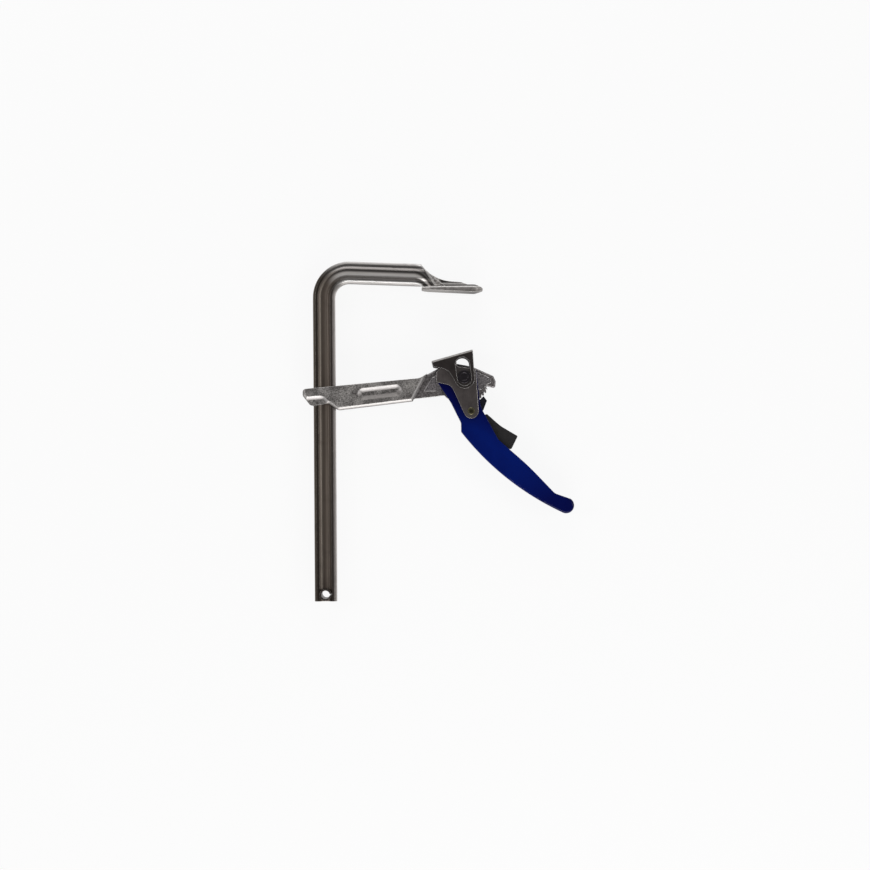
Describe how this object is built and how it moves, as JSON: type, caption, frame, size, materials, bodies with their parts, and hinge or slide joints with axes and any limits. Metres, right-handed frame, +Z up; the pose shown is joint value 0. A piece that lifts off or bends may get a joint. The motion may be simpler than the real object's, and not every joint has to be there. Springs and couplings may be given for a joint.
{
  "type": "quick bar clamp",
  "caption": "All-steel lever bar clamp: grooved rail bent into a fixed jaw, sliding arm with ratchet lever, cams and floating pressure shoe.",
  "frame": {"origin": "middle of the fixed jaw's clamping face, in the clamp's middle plane", "axes": "+Y along the rail from its foot towards the bent top, +X from the rail across the throat, +Z up out of the clamp's side as it lies"},
  "size_m": [0.2698, 0.3388, 0.0287],
  "materials": {
    "rail_steel": "dark burnished drawn steel",
    "arm_steel": "rough forged steel, zinc-grey",
    "lever_paint": "glossy deep blue powder coat",
    "cam_steel": "smooth dark oiled steel",
    "shoe_steel": "blackened steel with a bright worn face",
    "pin_steel": "blackened turned steel",
    "rivet_steel": "dark olive plated steel",
    "pawl_steel": "black hardened steel",
    "trigger_steel": "dark grey satin coated steel",
    "spring_steel": "spring steel"
  },
  "bodies": {
    "rail_body": {"rail": "rail_steel", "stop_pin": "spring_steel"},
    "arm_body": {"sliding_arm": "arm_steel"},
    "lever_body": {"lever": "lever_paint", "cam_plate_front": "cam_steel", "cam_plate_rear": "cam_steel", "cam_rivet": "rivet_steel"},
    "pin_body": {"main_pin": "pin_steel", "pin_collar": "pin_steel"},
    "shoe_body": {"pressure_shoe": "shoe_steel"},
    "pawl_body": {"pawl": "pawl_steel", "pawl_spring": "spring_steel", "release_trigger": "trigger_steel", "trigger_pin": "rivet_steel"}
  },
  "joints": [
    {"name": "arm_slide", "type": "slide", "parent": "rail_body", "child": "arm_body", "axis": [0, 1, 0], "range_m": [-0.18, 0.055]},
    {"name": "lever_swing", "type": "hinge", "parent": "arm_body", "child": "lever_body", "pos_m": [0.0114, -0.0852, 0], "axis": [0, 0, 1], "range_deg": [-42, 12]},
    {"name": "shoe_tilt", "type": "hinge", "parent": "arm_body", "child": "pin_body", "pos_m": [0.0114, -0.0852, 0], "axis": [0, 0, 1], "range_deg": [-15.5, 4.5]},
    {"name": "shoe_lift", "type": "slide", "parent": "pin_body", "child": "shoe_body", "axis": [-0.1288, 0.9917, 0], "range_m": [-0.0005, 0.00172]},
    {"name": "pawl_release", "type": "hinge", "parent": "lever_body", "child": "pawl_body", "pos_m": [0.0182, -0.1194, 0], "axis": [0, 0, 1], "range_deg": [-12, 0], "stiffness_Nm_per_rad": 0.4, "springref_deg": 17.19}
  ],
  "couplings": [
    {"joint": "shoe_tilt", "follows": "lever_swing", "ratio": 0.367},
    {"joint": "shoe_lift", "follows": "lever_swing", "m_per_rad": -0.00232}
  ]
}
